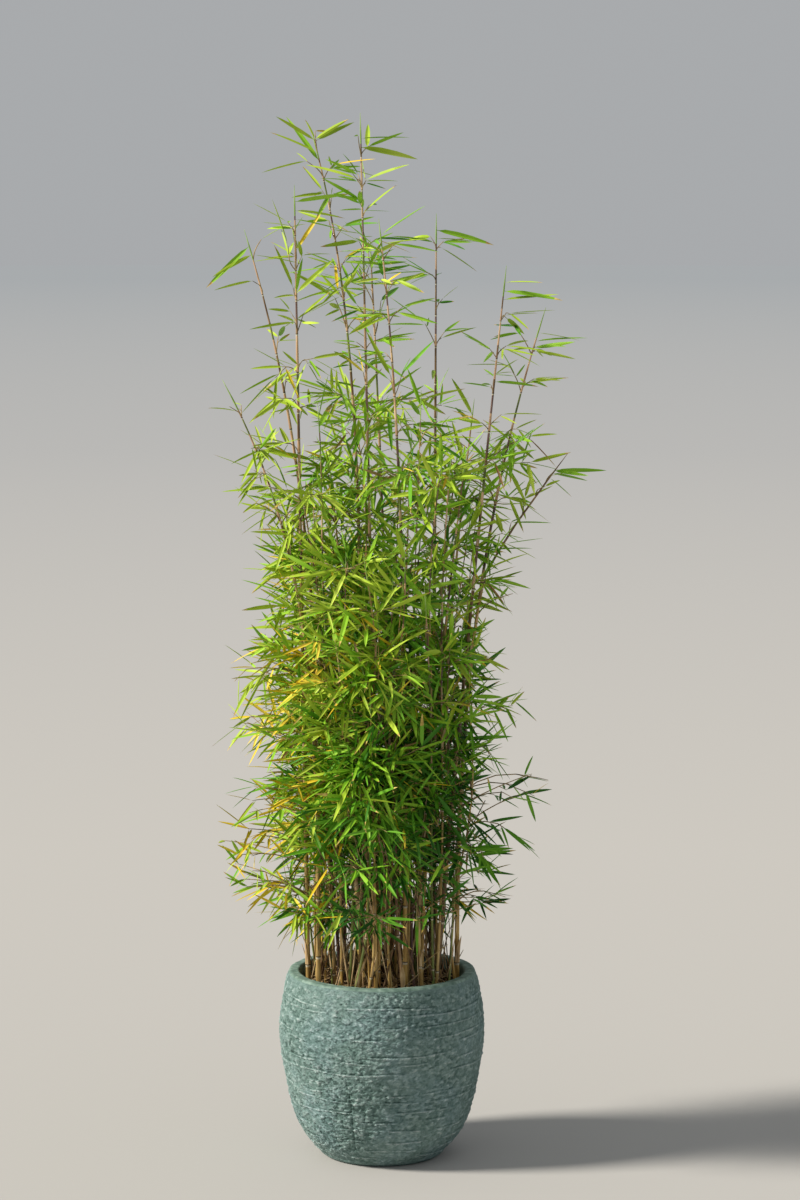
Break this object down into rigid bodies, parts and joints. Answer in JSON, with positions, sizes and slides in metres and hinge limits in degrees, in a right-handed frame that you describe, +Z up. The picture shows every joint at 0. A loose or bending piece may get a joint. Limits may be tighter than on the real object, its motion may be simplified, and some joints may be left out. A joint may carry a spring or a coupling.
{
  "type": "potted bamboo",
  "caption": "Clump-forming bamboo with upright leaning culms and narrow leaves, growing in a round pot of rough stone that stands on its flat underside.",
  "frame": {"origin": "centre of the pot's flat underside", "axes": "+Z up along the culms, -Y towards the front of the plant, +X to the right"},
  "size_m": [0.7084, 0.6522, 1.91],
  "materials": {
    "stone": "rough grey-green split stone, matt, with a smoother rim",
    "earth": "moist dark potting compost with dry leaf litter",
    "cane": "satin golden-tan cane with pale rings and dark lines at its nodes",
    "leaf_bright": "satin yellow-green leaves",
    "leaf": "satin mid-green leaves",
    "leaf_shaded": "satin deep green leaves with some yellow ones"
  },
  "bodies": {
    "root": {"pot": "stone", "soil": "earth", "culm_01": "cane", "culm_02": "cane", "culm_03": "cane", "culm_04": "cane", "culm_05": "cane", "culm_06": "cane", "culm_07": "cane", "culm_08": "cane", "culm_09": "cane", "culm_10": "cane", "culm_11": "cane", "culm_12": "cane", "culm_13": "cane", "culm_14": "cane", "culm_15": "cane", "culm_16": "cane", "culm_17": "cane", "culm_18": "cane", "culm_19": "cane", "culm_20": "cane", "culm_21": "cane", "culm_22": "cane", "culm_23": "cane", "culm_24": "cane", "branch_right": "cane", "leaves_on_culm_01": "leaf_bright", "leaves_on_culm_02": "leaf_bright", "leaves_on_culm_03": "leaf_bright", "leaves_on_culm_04": "leaf_bright", "leaves_on_culm_05": "leaf_bright", "leaves_on_culm_06": "leaf_bright", "leaves_on_culm_07": "leaf_bright", "leaves_on_culm_08": "leaf_bright", "leaves_on_culm_09": "leaf_bright", "leaves_on_culm_10": "leaf_bright", "leaves_on_culm_11": "leaf", "leaves_on_culm_12": "leaf", "leaves_on_culm_13": "leaf", "leaves_on_culm_14": "leaf", "leaves_on_culm_15": "leaf", "leaves_on_culm_16": "leaf", "leaves_on_culm_17": "leaf", "leaves_on_culm_18": "leaf", "leaves_on_culm_19": "leaf", "leaves_on_culm_20": "leaf", "leaves_on_culm_21": "leaf", "leaves_on_culm_22": "leaf", "leaves_on_culm_23": "leaf", "leaves_on_culm_24": "leaf", "leaves_branch_right": "leaf", "leaves_skirt_1": "leaf_shaded", "leaves_skirt_2": "leaf_shaded", "leaves_skirt_3": "leaf_shaded", "leaves_skirt_4": "leaf_shaded", "leaves_skirt_5": "leaf_shaded", "leaves_skirt_6": "leaf_shaded", "leaves_skirt_7": "leaf_shaded", "leaves_skirt_8": "leaf_shaded"}
  },
  "joints": []
}
